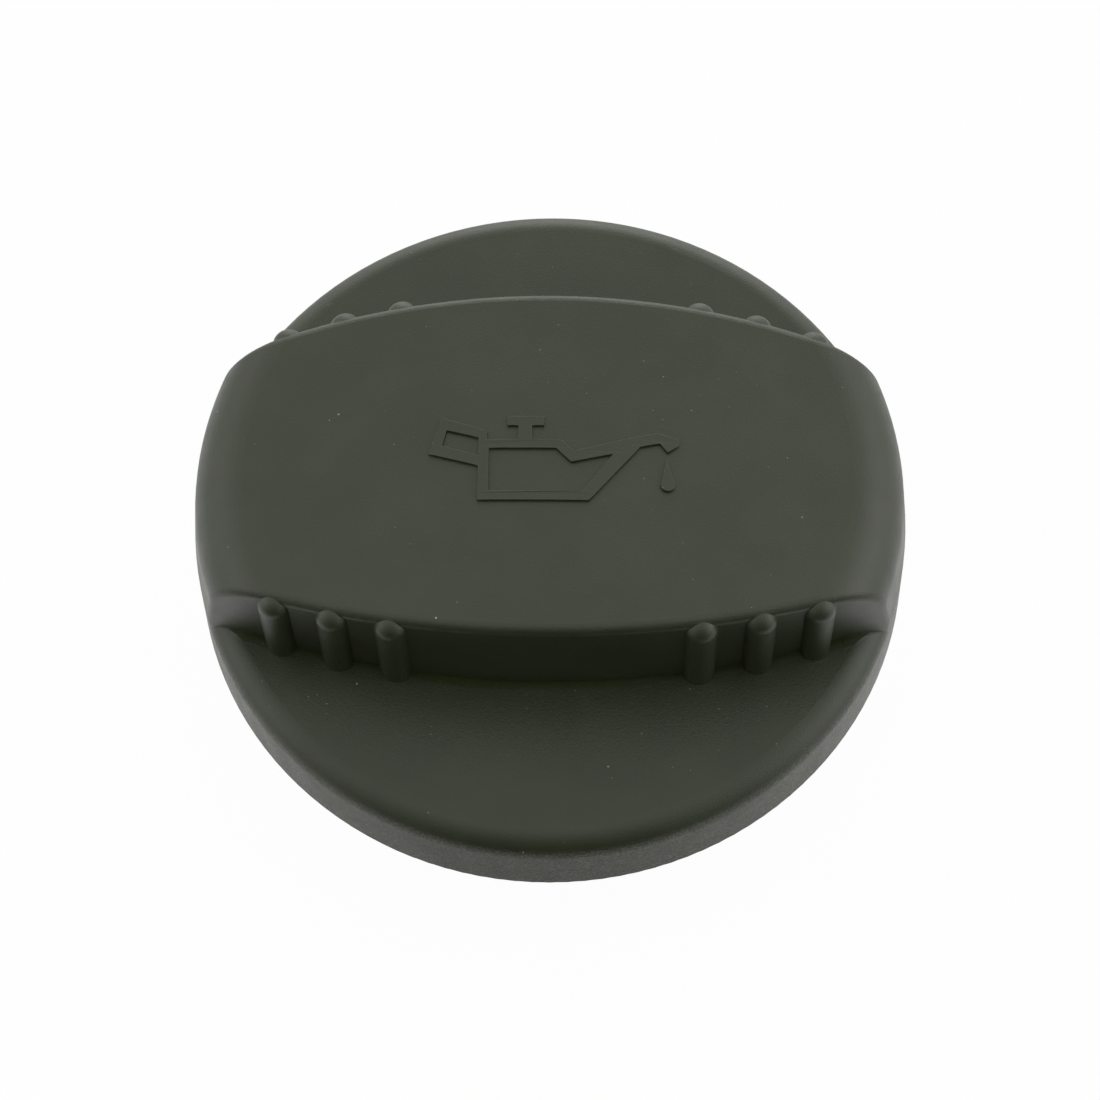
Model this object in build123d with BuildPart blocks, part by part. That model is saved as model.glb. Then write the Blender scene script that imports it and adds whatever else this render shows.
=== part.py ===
from build123d import *
import os
import math

os.makedirs("parts", exist_ok=True)

# Sizes in millimetres, angles in degrees
cap_diameter = 70.0
skirt_height = 8.75
skirt_draft = 1.8
rim_fillet = 2.5
wall = 2.6

grip_rise = 12.2
grip_width = 36.1
side_radius = 87.2
side_draft = 0.2
crown_radius = 222.0
end_draft = 6.6
end_blend = 12.0
end_fillet = 6.0
long_fillet = 0.9
foot_fillet = 0.9
foot_sink = 0.03

rib_radius = 1.6
rib_first_x = 14.4
rib_pitch = 5.52
ribs_per_corner = 3
rib_sink = 0.44
rib_top_drop = 0.25
rib_pole_tilt = 45.0

neck_drop = 15.0
neck_diameter = 40.0
neck_wall = 2.6
neck_lead_in = 0.8

seal_section = 4.0
seal_side_play = 0.2
seal_seat_gap = 0.02
collar_height = 1.6
collar_projection = 1.6

lug_base_z = 3.0
lug_height = 4.0
lug_projection = 3.2
lug_chamfer = 0.6
lug_arc = 56.0
lug_ramp_arc = 28.0
lug_ramp_drop = 1.6

web_thickness = 1.8
core_step = 0.3
edge_break = 0.4
overlap = 0.5

# Heights above the end of the neck
skirt_z = neck_drop
flange_z = skirt_z + skirt_height
roof_z = flange_z - wall
crown_z = flange_z + grip_rise
block_z = crown_z + overlap
groove_top_z = roof_z - collar_height
groove_low_z = groove_top_z - seal_section - 2 * seal_side_play
collar_low_z = groove_low_z - collar_height
lug_top_z = lug_base_z + lug_height

# Radii and slopes that follow
cap_radius = cap_diameter / 2
skirt_slope = math.tan(math.radians(skirt_draft))
flange_radius = cap_radius - skirt_slope * skirt_height
recess_radius = cap_radius - wall
core_inset = wall + core_step
block_radius = flange_radius - (block_z - flange_z) * math.tan(math.radians(end_draft))
neck_radius = neck_diameter / 2
bore_radius = neck_radius - neck_wall
collar_radius = neck_radius + collar_projection
lug_tip_radius = neck_radius + lug_projection
seal_radius = neck_radius + seal_seat_gap + seal_section / 2
side_slope = math.tan(math.radians(side_draft))
side_center = side_radius - grip_width / 2
side_drop = side_slope * (block_z - skirt_z)
foot_radius = side_radius - side_slope * skirt_height
rib_wall_radius = foot_radius - side_slope * grip_rise / 2
stand = (Align.CENTER, Align.CENTER, Align.MIN)

# Foot fillet: sunk a little into wall and flange, it ends on the flat of the flange
foot_line = foot_radius - side_slope * foot_fillet - foot_sink
foot_tip = foot_line + foot_fillet
foot_low_z = flange_z - foot_sink
flat_radius = flange_radius - rim_fillet - edge_break
foot_cosine = (side_center**2 + foot_tip**2 - flat_radius**2) / (2 * side_center * foot_tip)
foot_arc = math.degrees(math.acos(foot_cosine))


# Upright plane through a vertical line: local X points outward at the angle, local Y is up
def upright(y, angle):
    out = Vector(math.cos(math.radians(angle)), math.sin(math.radians(angle)), 0)
    return Plane(origin=(0, y, 0), x_dir=out, z_dir=out.cross(Vector(0, 0, 1)))


# Solid grip: drafted ends, two curved long sides and a crowned top
with BuildPart() as grip:
    with BuildSketch(Plane.XZ):
        with BuildLine():
            Polyline(
                (0, skirt_z),
                (cap_radius, skirt_z),
                (flange_radius, flange_z),
                (block_radius, block_z),
                (0, block_z),
                close=True,
            )
        make_face()
        fillet(vertices().sort_by_distance((flange_radius, flange_z))[0], end_blend)
    revolve(axis=Axis.Z)
    for side in (1, -1):
        with Locations((0, side * side_center, skirt_z)):
            Cone(
                side_radius,
                side_radius - side_drop,
                block_z - skirt_z,
                align=stand,
                mode=Mode.INTERSECT,
            )
    with Locations((0, 0, crown_z - crown_radius)):
        Cylinder(crown_radius, cap_diameter, rotation=(90, 0, 0), mode=Mode.INTERSECT)
    crown_edges = grip.faces().sort_by(Axis.Z)[-1].edges().sort_by(Axis.X)
    fillet([crown_edges[0], crown_edges[-1]], end_fillet)
    for end in (0, -1):
        side_edges = grip.faces().sort_by(Axis.Y)[end].edges()
        fillet(side_edges.filter_by(lambda e: e.center().Z > skirt_z + edge_break), long_fillet)

# Hollow underside: grip core and flange recess with a chamfered mouth, less the neck wall and four webs
with BuildPart() as hollow:
    with BuildSketch(Plane.XZ):
        with BuildLine():
            Polyline(
                (0, roof_z - overlap),
                (flange_radius - core_inset, roof_z - overlap),
                (flange_radius - core_inset, flange_z),
                (block_radius - core_inset, block_z),
                (0, block_z),
                close=True,
            )
        make_face()
    revolve(axis=Axis.Z)
    for side in (1, -1):
        with Locations((0, side * side_center, skirt_z)):
            Cone(
                side_radius - wall,
                side_radius - wall - side_drop,
                block_z - skirt_z,
                align=stand,
                mode=Mode.INTERSECT,
            )
    with Locations((0, 0, crown_z - crown_radius)):
        Cylinder(crown_radius - wall, cap_diameter, rotation=(90, 0, 0), mode=Mode.INTERSECT)
    core_edges = hollow.faces().sort_by(Axis.Z)[-1].edges().sort_by(Axis.X)
    fillet([core_edges[0], core_edges[-1]], end_fillet - wall)
    with BuildSketch(Plane.XZ):
        with BuildLine():
            Polyline(
                (0, skirt_z),
                (recess_radius + edge_break, skirt_z),
                (recess_radius - skirt_slope * edge_break, skirt_z + edge_break),
                (recess_radius - skirt_slope * (roof_z - skirt_z), roof_z),
                (0, roof_z),
                close=True,
            )
        make_face()
    revolve(axis=Axis.Z)
    with BuildSketch(Plane.XY.offset(skirt_z)):
        Circle(neck_radius)
        Circle(bore_radius, mode=Mode.SUBTRACT)
    extrude(amount=block_z - skirt_z, mode=Mode.SUBTRACT)
    with BuildSketch(Plane.XY.offset(groove_top_z)):
        Rectangle(cap_diameter, web_thickness)
        Rectangle(web_thickness, cap_diameter)
        Circle(bore_radius + overlap, mode=Mode.SUBTRACT)
    extrude(amount=block_z - groove_top_z, mode=Mode.SUBTRACT)

# Two bayonet lugs, each with a sloping lead-in on the end that turns in first
with BuildPart() as lugs:
    for middle in (0, 180):
        with BuildSketch(upright(0, middle - lug_arc / 2)):
            with BuildLine():
                Polyline(
                    (neck_radius - overlap, lug_base_z),
                    (lug_tip_radius - lug_chamfer, lug_base_z),
                    (lug_tip_radius, lug_base_z + lug_chamfer),
                    (lug_tip_radius, lug_top_z),
                    (neck_radius - overlap, lug_top_z),
                    close=True,
                )
            make_face()
        revolve(axis=Axis.Z, revolution_arc=lug_arc)
    ramp_half = lug_tip_radius * math.sin(math.radians(lug_ramp_arc / 2))
    for middle in (0, 180):
        with BuildSketch(upright(0, middle - lug_arc / 2 + lug_ramp_arc / 2 + 90)):
            with BuildLine():
                Polyline(
                    (ramp_half, lug_top_z),
                    (-2 * ramp_half, lug_top_z - 1.5 * lug_ramp_drop),
                    (-2 * ramp_half, lug_top_z + overlap),
                    (ramp_half, lug_top_z + overlap),
                    close=True,
                )
            make_face()
        extrude(amount=lug_tip_radius + overlap, mode=Mode.SUBTRACT)

# One-piece cap moulding
with BuildPart() as cap_body:
    # Flange and skirt, solid at first
    with BuildSketch(Plane.XZ):
        with BuildLine():
            Polyline(
                (0, skirt_z),
                (cap_radius, skirt_z),
                (flange_radius, flange_z),
                (0, flange_z),
                close=True,
            )
        make_face()
    revolve(axis=Axis.Z)
    fillet(cap_body.edges().filter_by(GeomType.CIRCLE).sort_by(Axis.Z)[-1], rim_fillet)
    add(grip.part)

    # Concave fillet along the foot of each long side
    for side in (1, -1):
        with BuildSketch(upright(side * side_center, -side * 90 - foot_arc)):
            with BuildLine():
                Polyline(
                    (foot_line, foot_low_z + foot_fillet),
                    (foot_line - overlap, foot_low_z + foot_fillet),
                    (foot_line - overlap, foot_low_z - overlap),
                    (foot_tip, foot_low_z - overlap),
                    (foot_tip, foot_low_z),
                )
                RadiusArc((foot_tip, foot_low_z), (foot_line, foot_low_z + foot_fillet), foot_fillet)
            make_face()
        revolve(axis=Axis((0, side * side_center, 0), (0, 0, 1)), revolution_arc=2 * foot_arc)

    # Half-round ribs with domed tops near the four corners of the grip
    for i in range(ribs_per_corner):
        rib_x = rib_first_x + rib_pitch * i
        rib_y = math.sqrt(rib_wall_radius**2 - rib_x**2) - side_center - rib_sink
        rib_crown = math.sqrt(crown_radius**2 - rib_x**2) - crown_radius
        dome_z = crown_z + rib_crown - rib_top_drop - rib_radius
        for x in (rib_x, -rib_x):
            for side in (1, -1):
                with Locations((x, side * rib_y, roof_z + overlap)):
                    Cylinder(rib_radius, dome_z - roof_z - overlap, align=stand)
                with Locations((x, side * rib_y, dome_z)):
                    Sphere(rib_radius, rotation=(side * rib_pole_tilt, 0, 0))

    # Hollow underside, and a small fillet on the skirt's outer edge
    add(hollow.part, mode=Mode.SUBTRACT)
    skirt_edges = cap_body.edges().filter_by(GeomType.CIRCLE).group_by(Axis.Z)[0]
    fillet(skirt_edges.filter_by(lambda e: e.radius > cap_radius - edge_break), edge_break)

    # Neck with the two collars of the seal groove
    with BuildSketch(Plane.XZ):
        with BuildLine():
            Polyline(
                (bore_radius, edge_break),
                (bore_radius + edge_break, 0),
                (neck_radius - neck_lead_in, 0),
                (neck_radius, neck_lead_in),
                (neck_radius, collar_low_z),
                (collar_radius - edge_break, collar_low_z),
                (collar_radius, collar_low_z + edge_break),
                (collar_radius, groove_low_z),
                (neck_radius, groove_low_z),
                (neck_radius, groove_top_z),
                (collar_radius, groove_top_z),
                (collar_radius, roof_z + overlap),
                (bore_radius, roof_z + overlap),
                close=True,
            )
        make_face()
    revolve(axis=Axis.Z)
    add(lugs.part)

cap_body.part.label = "cap_body"
export_step(cap_body.part, "parts/cap_body.step")

# Rubber sealing ring in the groove of the neck
with BuildPart() as seal_ring:
    with Locations((0, 0, (groove_low_z + groove_top_z) / 2)):
        Torus(seal_radius, seal_section / 2)

seal_ring.part.label = "seal_ring"
export_step(seal_ring.part, "parts/seal_ring.step")
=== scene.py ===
import math

import bmesh
import bpy
from mathutils import Matrix, Vector


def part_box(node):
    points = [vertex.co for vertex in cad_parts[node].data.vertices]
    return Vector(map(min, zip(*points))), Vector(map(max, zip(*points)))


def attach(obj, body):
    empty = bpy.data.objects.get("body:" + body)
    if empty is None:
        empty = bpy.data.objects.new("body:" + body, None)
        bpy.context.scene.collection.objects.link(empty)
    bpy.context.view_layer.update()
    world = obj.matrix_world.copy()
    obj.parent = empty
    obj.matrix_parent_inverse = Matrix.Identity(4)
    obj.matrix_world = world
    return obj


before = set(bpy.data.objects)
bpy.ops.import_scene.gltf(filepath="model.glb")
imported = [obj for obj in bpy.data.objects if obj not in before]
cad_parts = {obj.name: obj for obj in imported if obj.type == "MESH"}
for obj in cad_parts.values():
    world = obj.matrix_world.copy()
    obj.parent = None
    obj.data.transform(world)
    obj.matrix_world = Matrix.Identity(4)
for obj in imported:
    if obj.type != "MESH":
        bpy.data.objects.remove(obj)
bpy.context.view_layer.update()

MM = 0.001

# Sizes of the cap, as they follow from the CAD source
CROWN_RADIUS = 222.0 * MM
FLANGE_TOP = 23.75 * MM
FOOT_FILLET = 0.9 * MM
WALL_RADIUS = 87.17 * MM
WALL_CENTER = 69.15 * MM
RIM_FILLET = 2.5 * MM
RIM_CENTER = 32.3 * MM
CROWN_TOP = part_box("cap_body")[1].z

# Raised oil can sign: points in millimetres on the grip's top, seen from above
SIGN_HEIGHT = 0.30 * MM
SIGN_SINK = 0.20 * MM
SIGN_BEVEL = 0.07 * MM
SIGN_BEVEL_STEPS = 2
SIGN_WELD = 0.002 * MM
SIGN_STEP = 0.8
CAN_AND_HANDLE = [
    (-6.6, -4.5), (3.9, -4.5), (8.7, 1.2), (10.55, 1.6), (11.3, 0.65), (12.35, 1.45),
    (12.3, 2.15), (10.3, 2.75), (8.6, 2.35), (2.5, 0.7), (1.2, 1.9), (-1.55, 1.9),
    (-1.55, 3.35), (-0.4, 3.35), (-0.4, 4.35), (-3.9, 4.35), (-3.9, 3.35), (-2.85, 3.35),
    (-2.85, 1.9), (-5.8, 1.9), (-5.8, 2.8), (-10.2, 4.25), (-11.3, 0.35), (-6.6, -0.9),
]
CAN_HOLE = [(-5.6, -3.5), (3.25, -3.5), (6.15, 0.4), (2.2, -0.5), (0.75, 0.95), (-5.6, 0.95)]
HANDLE_HOLE = [(-10.05, 1.25), (-6.6, 0.2), (-6.6, 2.05), (-9.65, 2.85)]
DROP_TIP = (11.2, -0.1)
DROP_CENTER = (11.3, -2.7)
DROP_RADIUS = 0.68
DROP_TURNS = 20

# Blends that carry the foot fillet on to the skirt: where along the bar they start, narrow and end
BLEND_START = 28.2 * MM
BLEND_NARROWS = 29.2 * MM
BLEND_END = 32.75 * MM
BLEND_LEAST = 0.06 * MM
BLEND_SINK = 0.015 * MM
BLEND_ROOT = 0.2 * MM
BLEND_STEPS = 24
BLEND_ARC_STEPS = 8
SHARP_ANGLE = math.radians(40)

# Camera, fitted to the photograph's circles and grip edges
CAMERA_AIM = Vector((0.06, -3.612, 23.274)) * MM
CAMERA_DISTANCE = 302.265 * MM
CAMERA_AZIMUTH = 2.564
CAMERA_ELEVATION = 64.833
CAMERA_ROLL = -1.927
CAMERA_SENSOR = 36.0
CAMERA_LENS = 101.45
CAMERA_CLIP = 10.0 * MM

# Soft sky: each lobe's direction, brightness and narrowness
SKY_LOBES = [
    ((0.0, 0.0, 1.0), 0.65, 8.0),
    ((0.0, 0.985, 0.17), 2.15, 16.0),
    ((-0.7, 0.63, 0.34), 0.46, 8.0),
    ((0.7, 0.63, 0.34), 0.56, 8.0),
    ((-0.94, 0.0, 0.34), 0.44, 4.0),
    ((0.94, 0.0, 0.34), 0.33, 4.0),
    ((-0.94, 0.0, 0.34), 0.89, 10.0),
    ((0.94, 0.0, 0.34), 1.40, 10.0),
]

# White floor: camera rays see it mostly as plain white, and so do mirrored rays at the sides and far off
FLOOR_FRONT = 72.0 * MM
FLOOR_REACH = 150.0 * MM
FLOOR_COLOR = (0.80, 0.80, 0.80, 1.0)
FLOOR_WHITE = 0.97
SHADOW_NEAR = 60.0 * MM
SHADOW_FAR = 160.0 * MM
SIDE_WHITE = 0.8

# Plastic: colours, and noise in cells per millimetre that changes tones over its middle values
MIDDLE = (0.3, 0.7)
PATCH_SCALE = 0.15
GLOSS_SCALE = 0.35
ROUGHNESS = (0.34, 0.40)
GRAIN_SCALE = 5.5
GRAIN_DEPTH = 0.03 * MM
PLASTIC_DARK = (0.0200, 0.0252, 0.0096, 1.0)
PLASTIC_LIGHT = (0.0240, 0.0302, 0.0116, 1.0)

# Specular level, and how far up a face looks where the crease with painted shade (its gloss turned down)
# leaves the wall and meets the flange
SPECULAR = 0.55
CREASE_SHADE_SPECULAR = 0.1
CREASE_WALL = (0.1, 0.3)
CREASE_FLANGE = (0.97, 0.99)

# Coarse grain of the skirt: distances from the axis where it starts and is full, relief, scale, and colours
# of painted shade in its pits and painted glints on its peaks
SKIRT_FROM = 34.3 * MM
SKIRT_FULL = 34.85 * MM
SKIRT_RELIEF = 3.0
SKIRT_SCALE = 4.0
SKIRT_PEAKS = (0.4, 0.7)
SKIRT_PIT_SHADE = (0.012, 0.015, 0.004, 1.0)
SKIRT_GLINT = (0.070, 0.076, 0.040, 1.0)

# Dust specks: their colour, and how far up a face looks where they start to lie and lie fully
DUST_COLOR = (0.30, 0.30, 0.27, 1.0)
DUST_SLOPE = (0.1, 0.6)

# Layers of dust: each one's cells per millimetre, least pick, greatest size in cells and strength
DUST_LAYERS = [(1.1, 0.6, 0.075, 0.6), (0.5, 0.8, 0.06, 1.0)]

# Rubber: colours, gloss, and noise for its bloom and its fine surface
RUBBER_DARK = (0.012, 0.012, 0.012, 1.0)
RUBBER_BLOOM = (0.03, 0.03, 0.029, 1.0)
RUBBER_ROUGHNESS = (0.38, 0.6)
BLOOM_SCALE = 0.25
BLOOM_SPREAD = (0.4, 0.75)
RUBBER_GRAIN_SCALE = 4.0
RUBBER_GRAIN_DEPTH = 0.02 * MM
RUBBER_GRAIN_STRENGTH = 0.2


def new_material(name):
    """An empty node material with its nodes, links and output."""
    material = bpy.data.materials.new(name)
    material.use_nodes = True
    tree = material.node_tree
    tree.nodes.clear()
    output = tree.nodes.new("ShaderNodeOutputMaterial")
    return material, tree.nodes, tree.links, output


def noise(nodes, links, source, scale, detail=2.0, rough=0.5):
    """Noise of so many cells per millimetre."""
    node = nodes.new("ShaderNodeTexNoise")
    node.inputs["Scale"].default_value = scale / MM
    node.inputs["Detail"].default_value = detail
    node.inputs["Roughness"].default_value = rough
    links.new(source, node.inputs["Vector"])
    return node.outputs["Fac"]


def ramp(nodes, links, source, low, high, out_low=0.0, out_high=1.0):
    """Smooth step of a value from low..high to out_low..out_high."""
    node = nodes.new("ShaderNodeMapRange")
    node.interpolation_type = "SMOOTHSTEP"
    node.inputs["From Min"].default_value = low
    node.inputs["From Max"].default_value = high
    node.inputs["To Min"].default_value = out_low
    node.inputs["To Max"].default_value = out_high
    links.new(source, node.inputs["Value"])
    return node.outputs["Result"]


def math_node(nodes, links, operation, a, b):
    """Two values or sockets put together."""
    node = nodes.new("ShaderNodeMath")
    node.operation = operation
    for socket, value in zip(node.inputs, (a, b)):
        if isinstance(value, float):
            socket.default_value = value
        else:
            links.new(value, socket)
    return node.outputs["Value"]


def mix_color(nodes, links, factor, a, b):
    """Colour a with colour b laid over it by a factor."""
    node = nodes.new("ShaderNodeMix")
    node.data_type = "RGBA"
    links.new(factor, node.inputs["Factor"])
    sockets = [s for s in node.inputs if s.type == "RGBA"]
    for socket, value in zip(sockets, (a, b)):
        if isinstance(value, tuple):
            socket.default_value = value
        else:
            links.new(value, socket)
    return [s for s in node.outputs if s.type == "RGBA"][0]


def moulded_plastic():
    """Dark olive plastic: faint patches, moulded grain, uneven gloss and dust specks."""
    material, nodes, links, output = new_material("cap_plastic_look")
    shader = nodes.new("ShaderNodeBsdfPrincipled")
    links.new(shader.outputs["BSDF"], output.inputs["Surface"])
    place = nodes.new("ShaderNodeTexCoord").outputs["Object"]
    geometry = nodes.new("ShaderNodeNewGeometry")

    patches = ramp(nodes, links, noise(nodes, links, place, PATCH_SCALE, detail=3.0), *MIDDLE)
    tone = mix_color(nodes, links, patches, PLASTIC_DARK, PLASTIC_LIGHT)

    # Coarse grain on the skirt: real relief, with painted glints on its peaks and painted shade in its pits
    level = nodes.new("ShaderNodeVectorMath")
    level.operation = "MULTIPLY"
    level.inputs[1].default_value = (1.0, 1.0, 0.0)
    links.new(place, level.inputs[0])
    outward = nodes.new("ShaderNodeVectorMath")
    outward.operation = "LENGTH"
    links.new(level.outputs["Vector"], outward.inputs[0])
    edge = ramp(nodes, links, outward.outputs["Value"], SKIRT_FROM, SKIRT_FULL)
    glints = ramp(nodes, links, noise(nodes, links, place, SKIRT_SCALE, detail=1.0), *SKIRT_PEAKS)
    tone = mix_color(nodes, links, edge, tone, mix_color(nodes, links, glints, SKIRT_PIT_SHADE, SKIRT_GLINT))

    # Dust on the faces that look up
    up = nodes.new("ShaderNodeSeparateXYZ")
    links.new(geometry.outputs["Normal"], up.inputs["Vector"])
    lies = ramp(nodes, links, up.outputs["Z"], *DUST_SLOPE)
    for cells_per_mm, rarest, reach, strength in DUST_LAYERS:
        cells = nodes.new("ShaderNodeTexVoronoi")
        cells.inputs["Scale"].default_value = cells_per_mm / MM
        links.new(place, cells.inputs["Vector"])
        pick = nodes.new("ShaderNodeSeparateColor")
        links.new(cells.outputs["Color"], pick.inputs["Color"])
        size = ramp(nodes, links, pick.outputs["Red"], rarest, 1.0, 0.0, reach)
        near = math_node(nodes, links, "LESS_THAN", cells.outputs["Distance"], size)
        shown = math_node(nodes, links, "MULTIPLY", pick.outputs["Green"], strength)
        settled = math_node(nodes, links, "MULTIPLY", near, lies)
        dust = math_node(nodes, links, "MULTIPLY", settled, shown)
        tone = mix_color(nodes, links, dust, tone, DUST_COLOR)
    links.new(tone, shader.inputs["Base Color"])

    rough = ramp(nodes, links, noise(nodes, links, place, GLOSS_SCALE, detail=4.0), *MIDDLE, *ROUGHNESS)
    links.new(rough, shader.inputs["Roughness"])

    # Painted shade: the gloss is turned down in the crease along the grip's foot
    height = nodes.new("ShaderNodeSeparateXYZ")
    links.new(place, height.inputs["Vector"])
    above = math_node(nodes, links, "GREATER_THAN", height.outputs["Z"], FLANGE_TOP)
    below = math_node(nodes, links, "LESS_THAN", height.outputs["Z"], FLANGE_TOP + FOOT_FILLET)
    beside = math_node(nodes, links, "MULTIPLY", above, below)
    off_wall = ramp(nodes, links, up.outputs["Z"], *CREASE_WALL)
    off_flange = ramp(nodes, links, up.outputs["Z"], *CREASE_FLANGE, 1.0, 0.0)
    sloped = math_node(nodes, links, "MULTIPLY", off_wall, off_flange)
    crease = math_node(nodes, links, "MULTIPLY", beside, sloped)
    shaded_specular = ramp(nodes, links, crease, 0.0, 1.0, SPECULAR, CREASE_SHADE_SPECULAR)
    links.new(shaded_specular, shader.inputs["Specular IOR Level"])

    bump = nodes.new("ShaderNodeBump")
    bump.inputs["Strength"].default_value = 1.0
    bump.inputs["Distance"].default_value = GRAIN_DEPTH
    fine = noise(nodes, links, place, GRAIN_SCALE, rough=0.6)
    grain = math_node(nodes, links, "SUBTRACT", fine, 0.5)
    relief = ramp(nodes, links, edge, 0.0, 1.0, 1.0, SKIRT_RELIEF)
    links.new(math_node(nodes, links, "MULTIPLY", grain, relief), bump.inputs["Height"])
    links.new(bump.outputs["Normal"], shader.inputs["Normal"])
    return material


def seal_rubber():
    """Black rubber with a dry bloom and a fine surface."""
    material, nodes, links, output = new_material("seal_rubber_look")
    shader = nodes.new("ShaderNodeBsdfPrincipled")
    links.new(shader.outputs["BSDF"], output.inputs["Surface"])
    place = nodes.new("ShaderNodeTexCoord").outputs["Object"]
    bloom = noise(nodes, links, place, BLOOM_SCALE, detail=4.0)
    tone = mix_color(nodes, links, ramp(nodes, links, bloom, *BLOOM_SPREAD), RUBBER_DARK, RUBBER_BLOOM)
    links.new(tone, shader.inputs["Base Color"])
    links.new(ramp(nodes, links, bloom, *MIDDLE, *RUBBER_ROUGHNESS), shader.inputs["Roughness"])
    bump = nodes.new("ShaderNodeBump")
    bump.inputs["Strength"].default_value = RUBBER_GRAIN_STRENGTH
    bump.inputs["Distance"].default_value = RUBBER_GRAIN_DEPTH
    links.new(noise(nodes, links, place, RUBBER_GRAIN_SCALE), bump.inputs["Height"])
    links.new(bump.outputs["Normal"], shader.inputs["Normal"])
    return material


def floor_material():
    """White floor with a faint shadow, seen as plain white by mirrored rays too at the sides and far off."""
    material, nodes, links, output = new_material("floor_white")
    diffuse = nodes.new("ShaderNodeBsdfDiffuse")
    diffuse.inputs["Color"].default_value = FLOOR_COLOR
    glow = nodes.new("ShaderNodeEmission")
    glow.inputs["Strength"].default_value = 1.0
    path = nodes.new("ShaderNodeLightPath")
    away = nodes.new("ShaderNodeVectorMath")
    away.operation = "LENGTH"
    position = nodes.new("ShaderNodeNewGeometry").outputs["Position"]
    links.new(position, away.inputs[0])
    # Painted reflection: beside the part, at its left and right, mirrored rays see the floor as plain white,
    # which lightens the skirt's and the ends' sheen
    across = nodes.new("ShaderNodeSeparateXYZ")
    links.new(position, across.inputs["Vector"])
    sideways = math_node(nodes, links, "DIVIDE", across.outputs["X"], away.outputs["Value"])
    squared = math_node(nodes, links, "MULTIPLY", sideways, sideways)
    beside = math_node(nodes, links, "MULTIPLY", squared, SIDE_WHITE)
    far = ramp(nodes, links, away.outputs["Value"], SHADOW_NEAR, SHADOW_FAR)
    clear = math_node(nodes, links, "MAXIMUM", beside, far)
    mirrored = math_node(nodes, links, "MULTIPLY", path.outputs["Is Glossy Ray"], clear)
    seen = math_node(nodes, links, "MAXIMUM", path.outputs["Is Camera Ray"], mirrored)
    seen = math_node(nodes, links, "MAXIMUM", seen, path.outputs["Is Transmission Ray"])
    share = math_node(nodes, links, "MULTIPLY", seen, FLOOR_WHITE)
    mix = nodes.new("ShaderNodeMixShader")
    links.new(share, mix.inputs["Fac"])
    links.new(diffuse.outputs["BSDF"], mix.inputs[1])
    links.new(glow.outputs["Emission"], mix.inputs[2])
    links.new(mix.outputs["Shader"], output.inputs["Surface"])
    return material


def crown_z(x):
    """Height of the grip's top above a point of the sign."""
    return CROWN_TOP + math.sqrt(CROWN_RADIUS**2 - x**2) - CROWN_RADIUS


def divided(points):
    """A closed outline with points every SIGN_STEP or less along its sides."""
    out = []
    for a, b in zip(points, points[1:] + points[:1]):
        count = max(1, math.ceil(math.dist(a, b) / SIGN_STEP))
        for i in range(count):
            share = i / count
            out.append((a[0] + (b[0] - a[0]) * share, a[1] + (b[1] - a[1]) * share))
    return out


def drop_outline():
    """A falling drop: a tip above a round belly."""
    reach = math.dist(DROP_TIP, DROP_CENTER)
    half = math.degrees(math.acos(DROP_RADIUS / reach))
    lean = math.degrees(math.atan2(DROP_TIP[1] - DROP_CENTER[1], DROP_TIP[0] - DROP_CENTER[0]))
    points = [DROP_TIP]
    for i in range(DROP_TURNS + 1):
        angle = math.radians(lean + half + (360 - 2 * half) * i / DROP_TURNS)
        x = DROP_CENTER[0] + DROP_RADIUS * math.cos(angle)
        y = DROP_CENTER[1] + DROP_RADIUS * math.sin(angle)
        points.append((x, y))
    return points


def raised_sign(name, outlines):
    """Outlines filled, given a rounded edge and laid on the crowned top as one mesh."""
    curve = bpy.data.curves.new(name + "_outline", "CURVE")
    curve.dimensions = "2D"
    curve.fill_mode = "BOTH"
    curve.extrude = (SIGN_HEIGHT + SIGN_SINK) / 2 - SIGN_BEVEL
    curve.bevel_depth = SIGN_BEVEL
    curve.bevel_resolution = SIGN_BEVEL_STEPS
    curve.offset = -SIGN_BEVEL
    for outline in outlines:
        spline = curve.splines.new("POLY")
        spline.points.add(len(outline) - 1)
        for point, (x, y) in zip(spline.points, outline):
            point.co = (x * MM, y * MM, 0.0, 1.0)
        spline.use_cyclic_u = True
    drawn = bpy.data.objects.new(name + "_outline", curve)
    bpy.context.scene.collection.objects.link(drawn)
    graph = bpy.context.evaluated_depsgraph_get()
    mesh = bpy.data.meshes.new_from_object(drawn.evaluated_get(graph))
    bpy.data.objects.remove(drawn)

    shape = bmesh.new()
    shape.from_mesh(mesh)
    bmesh.ops.remove_doubles(shape, verts=shape.verts, dist=SIGN_WELD)
    middle = (SIGN_HEIGHT - SIGN_SINK) / 2
    for vertex in shape.verts:
        vertex.co.z += middle + crown_z(vertex.co.x)
    bmesh.ops.recalc_face_normals(shape, faces=shape.faces)
    shape.to_mesh(mesh)
    shape.free()
    mesh.name = name
    piece = bpy.data.objects.new(name, mesh)
    bpy.context.scene.collection.objects.link(piece)
    return piece


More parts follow.
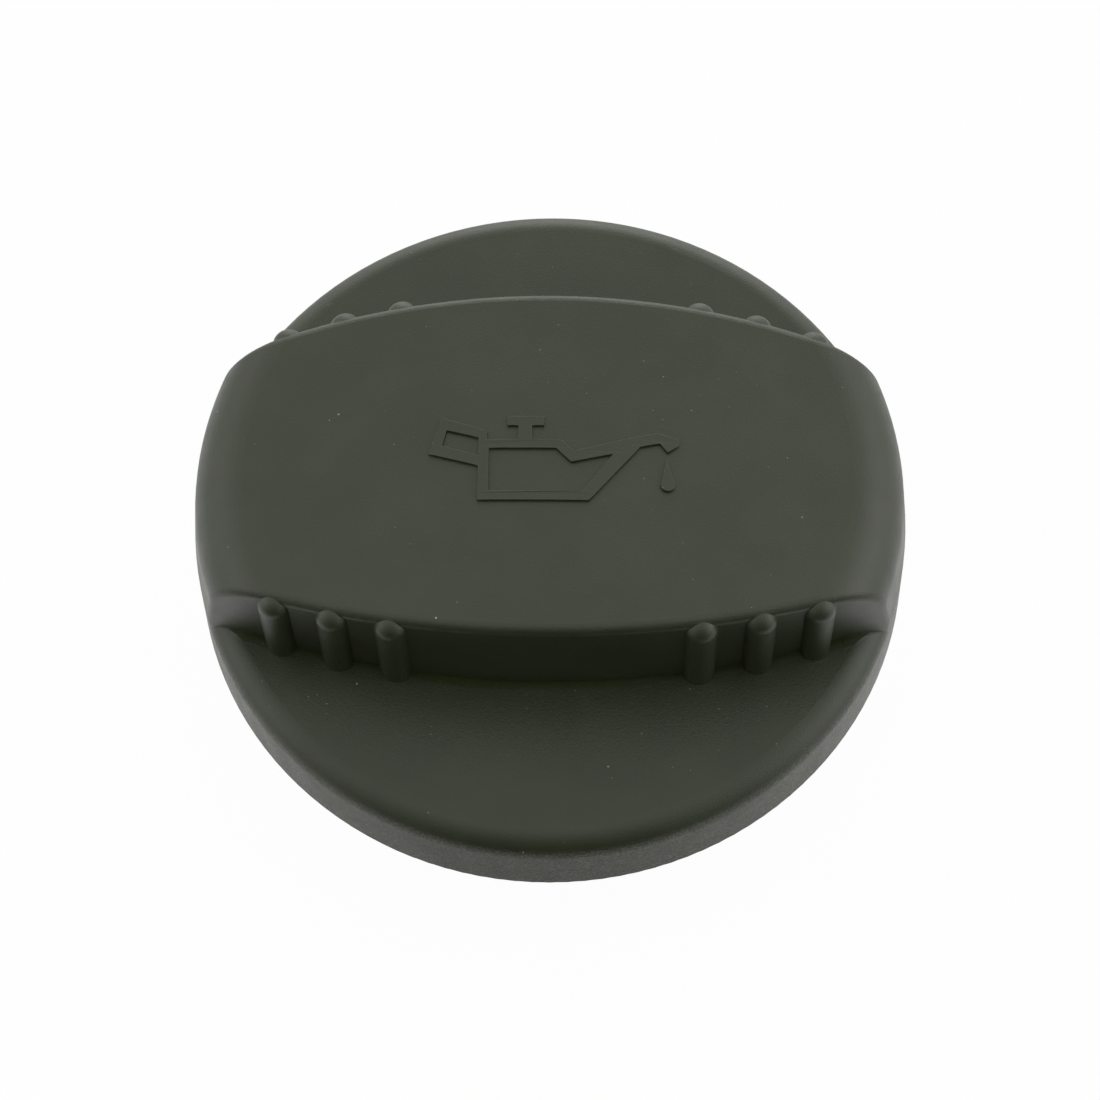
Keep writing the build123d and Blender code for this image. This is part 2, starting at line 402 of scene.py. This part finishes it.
def blend_section(x):
    """Section of a blend at one place: an arc that touches wall and rim, closed inside the moulding."""
    narrowing = min(1.0, (BLEND_END - x) / (BLEND_END - BLEND_NARROWS))
    radius = max(BLEND_LEAST, FOOT_FILLET * narrowing)
    turn = math.asin(x / WALL_RADIUS)
    wall_normal = Vector((math.sin(turn), math.cos(turn), 0.0))
    center = wall_normal * (WALL_RADIUS + radius) - Vector((0.0, WALL_CENTER, 0.0))
    beyond = center.length - RIM_CENTER
    outward = center.normalized()
    rim = Vector((outward.x * RIM_CENTER, outward.y * RIM_CENTER, FLANGE_TOP - RIM_FILLET))
    if beyond > 0:
        center.z = rim.z + math.sqrt((RIM_FILLET + radius) ** 2 - beyond**2)
        flange_normal = (center - rim).normalized()
    else:
        center.z = FLANGE_TOP + radius
        flange_normal = Vector((0.0, 0.0, 1.0))
    inward = -(wall_normal + flange_normal).normalized()
    crease = radius / math.cos(wall_normal.angle(flange_normal) / 2)
    section = [center + inward * (crease + BLEND_ROOT)]
    for i in range(BLEND_ARC_STEPS + 1):
        normal = wall_normal.slerp(flange_normal, i / BLEND_ARC_STEPS)
        section.append(center - normal * radius + inward * BLEND_SINK)
    return section


def foot_blends():
    """Concave blends at the grip's four corners, as one mesh."""
    shape = bmesh.new()
    for side_x in (1, -1):
        for side_y in (1, -1):
            rings = []
            for i in range(BLEND_STEPS + 1):
                section = blend_section(BLEND_START + (BLEND_END - BLEND_START) * i / BLEND_STEPS)
                rings.append([shape.verts.new((p.x * side_x, p.y * side_y, p.z)) for p in section])
            for a, b in zip(rings, rings[1:]):
                for j in range(len(a)):
                    shape.faces.new((a[j - 1], a[j], b[j], b[j - 1]))
            shape.faces.new(rings[0])
            shape.faces.new(rings[-1])
    bmesh.ops.recalc_face_normals(shape, faces=shape.faces)
    for face in shape.faces:
        face.smooth = True
    for edge in shape.edges:
        edge.smooth = edge.calc_face_angle(0.0) < SHARP_ANGLE
    mesh = bpy.data.meshes.new("foot_blends")
    shape.to_mesh(mesh)
    shape.free()
    piece = bpy.data.objects.new("foot_blends", mesh)
    bpy.context.scene.collection.objects.link(piece)
    return piece


def add_floor():
    """Level floor under the neck's end."""
    mesh = bpy.data.meshes.new("floor")
    front, reach = FLOOR_FRONT, FLOOR_REACH
    corners = [(-reach, -front, 0), (reach, -front, 0), (reach, reach, 0), (-reach, reach, 0)]
    mesh.from_pydata(corners, [], [(0, 1, 2, 3)])
    floor = bpy.data.objects.new("floor", mesh)
    bpy.context.scene.collection.objects.link(floor)
    floor.data.materials.append(floor_material())


def add_world():
    """Smooth sky, bright above, behind and beside the part, that the camera sees as plain white."""
    world = bpy.data.worlds.new("studio")
    world.use_nodes = True
    nodes, links = world.node_tree.nodes, world.node_tree.links
    background = nodes["Background"]
    background.inputs["Color"].default_value = (1.0, 1.0, 1.0, 1.0)
    direction = nodes.new("ShaderNodeTexCoord").outputs["Generated"]
    light = 0.0
    for toward, brightness, narrowness in SKY_LOBES:
        dot = nodes.new("ShaderNodeVectorMath")
        dot.operation = "DOT_PRODUCT"
        dot.inputs[1].default_value = toward
        links.new(direction, dot.inputs[0])
        raised = math_node(nodes, links, "ADD", dot.outputs["Value"], 1.0)
        half = math_node(nodes, links, "MULTIPLY", raised, 0.5)
        lobe = math_node(nodes, links, "POWER", half, narrowness)
        lobe = math_node(nodes, links, "MULTIPLY", lobe, brightness)
        light = math_node(nodes, links, "ADD", lobe, light)
    mix = nodes.new("ShaderNodeMix")
    links.new(nodes.new("ShaderNodeLightPath").outputs["Is Camera Ray"], mix.inputs["Factor"])
    links.new(light, mix.inputs["A"])
    mix.inputs["B"].default_value = 1.0
    links.new(mix.outputs["Result"], background.inputs["Strength"])
    bpy.context.scene.world = world


def add_camera():
    """Camera that looks at the aim point from the photograph's side, rolled as the photograph is."""
    azimuth, elevation, roll = (math.radians(v) for v in (CAMERA_AZIMUTH, CAMERA_ELEVATION, CAMERA_ROLL))
    flat = math.cos(elevation)
    back = Vector((math.sin(azimuth) * flat, -math.cos(azimuth) * flat, math.sin(elevation)))
    level = Vector((math.cos(azimuth), math.sin(azimuth), 0.0))
    rise = back.cross(level)
    right = level * math.cos(roll) + rise * math.sin(roll)
    up = back.cross(right)
    camera = bpy.data.cameras.new("camera")
    camera.sensor_width = CAMERA_SENSOR
    camera.lens = CAMERA_LENS
    camera.clip_start = CAMERA_CLIP
    holder = bpy.data.objects.new("camera", camera)
    axes = Matrix((right, up, back)).transposed()
    holder.matrix_world = Matrix.Translation(CAMERA_AIM + back * CAMERA_DISTANCE) @ axes.to_4x4()
    bpy.context.scene.collection.objects.link(holder)
    bpy.context.scene.camera = holder


plastic = moulded_plastic()
rubber = seal_rubber()
for node, material in (("cap_body", plastic), ("seal_ring", rubber)):
    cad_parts[node].material_slots[0].material = material

sign = raised_sign(
    "oil_can_sign", [divided(CAN_AND_HANDLE), divided(CAN_HOLE), divided(HANDLE_HOLE), drop_outline()]
)
for piece in (sign, foot_blends()):
    piece.data.materials.append(plastic)
    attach(piece, "root")

add_floor()
add_world()
add_camera()
bpy.context.scene.view_settings.view_transform = "Standard"
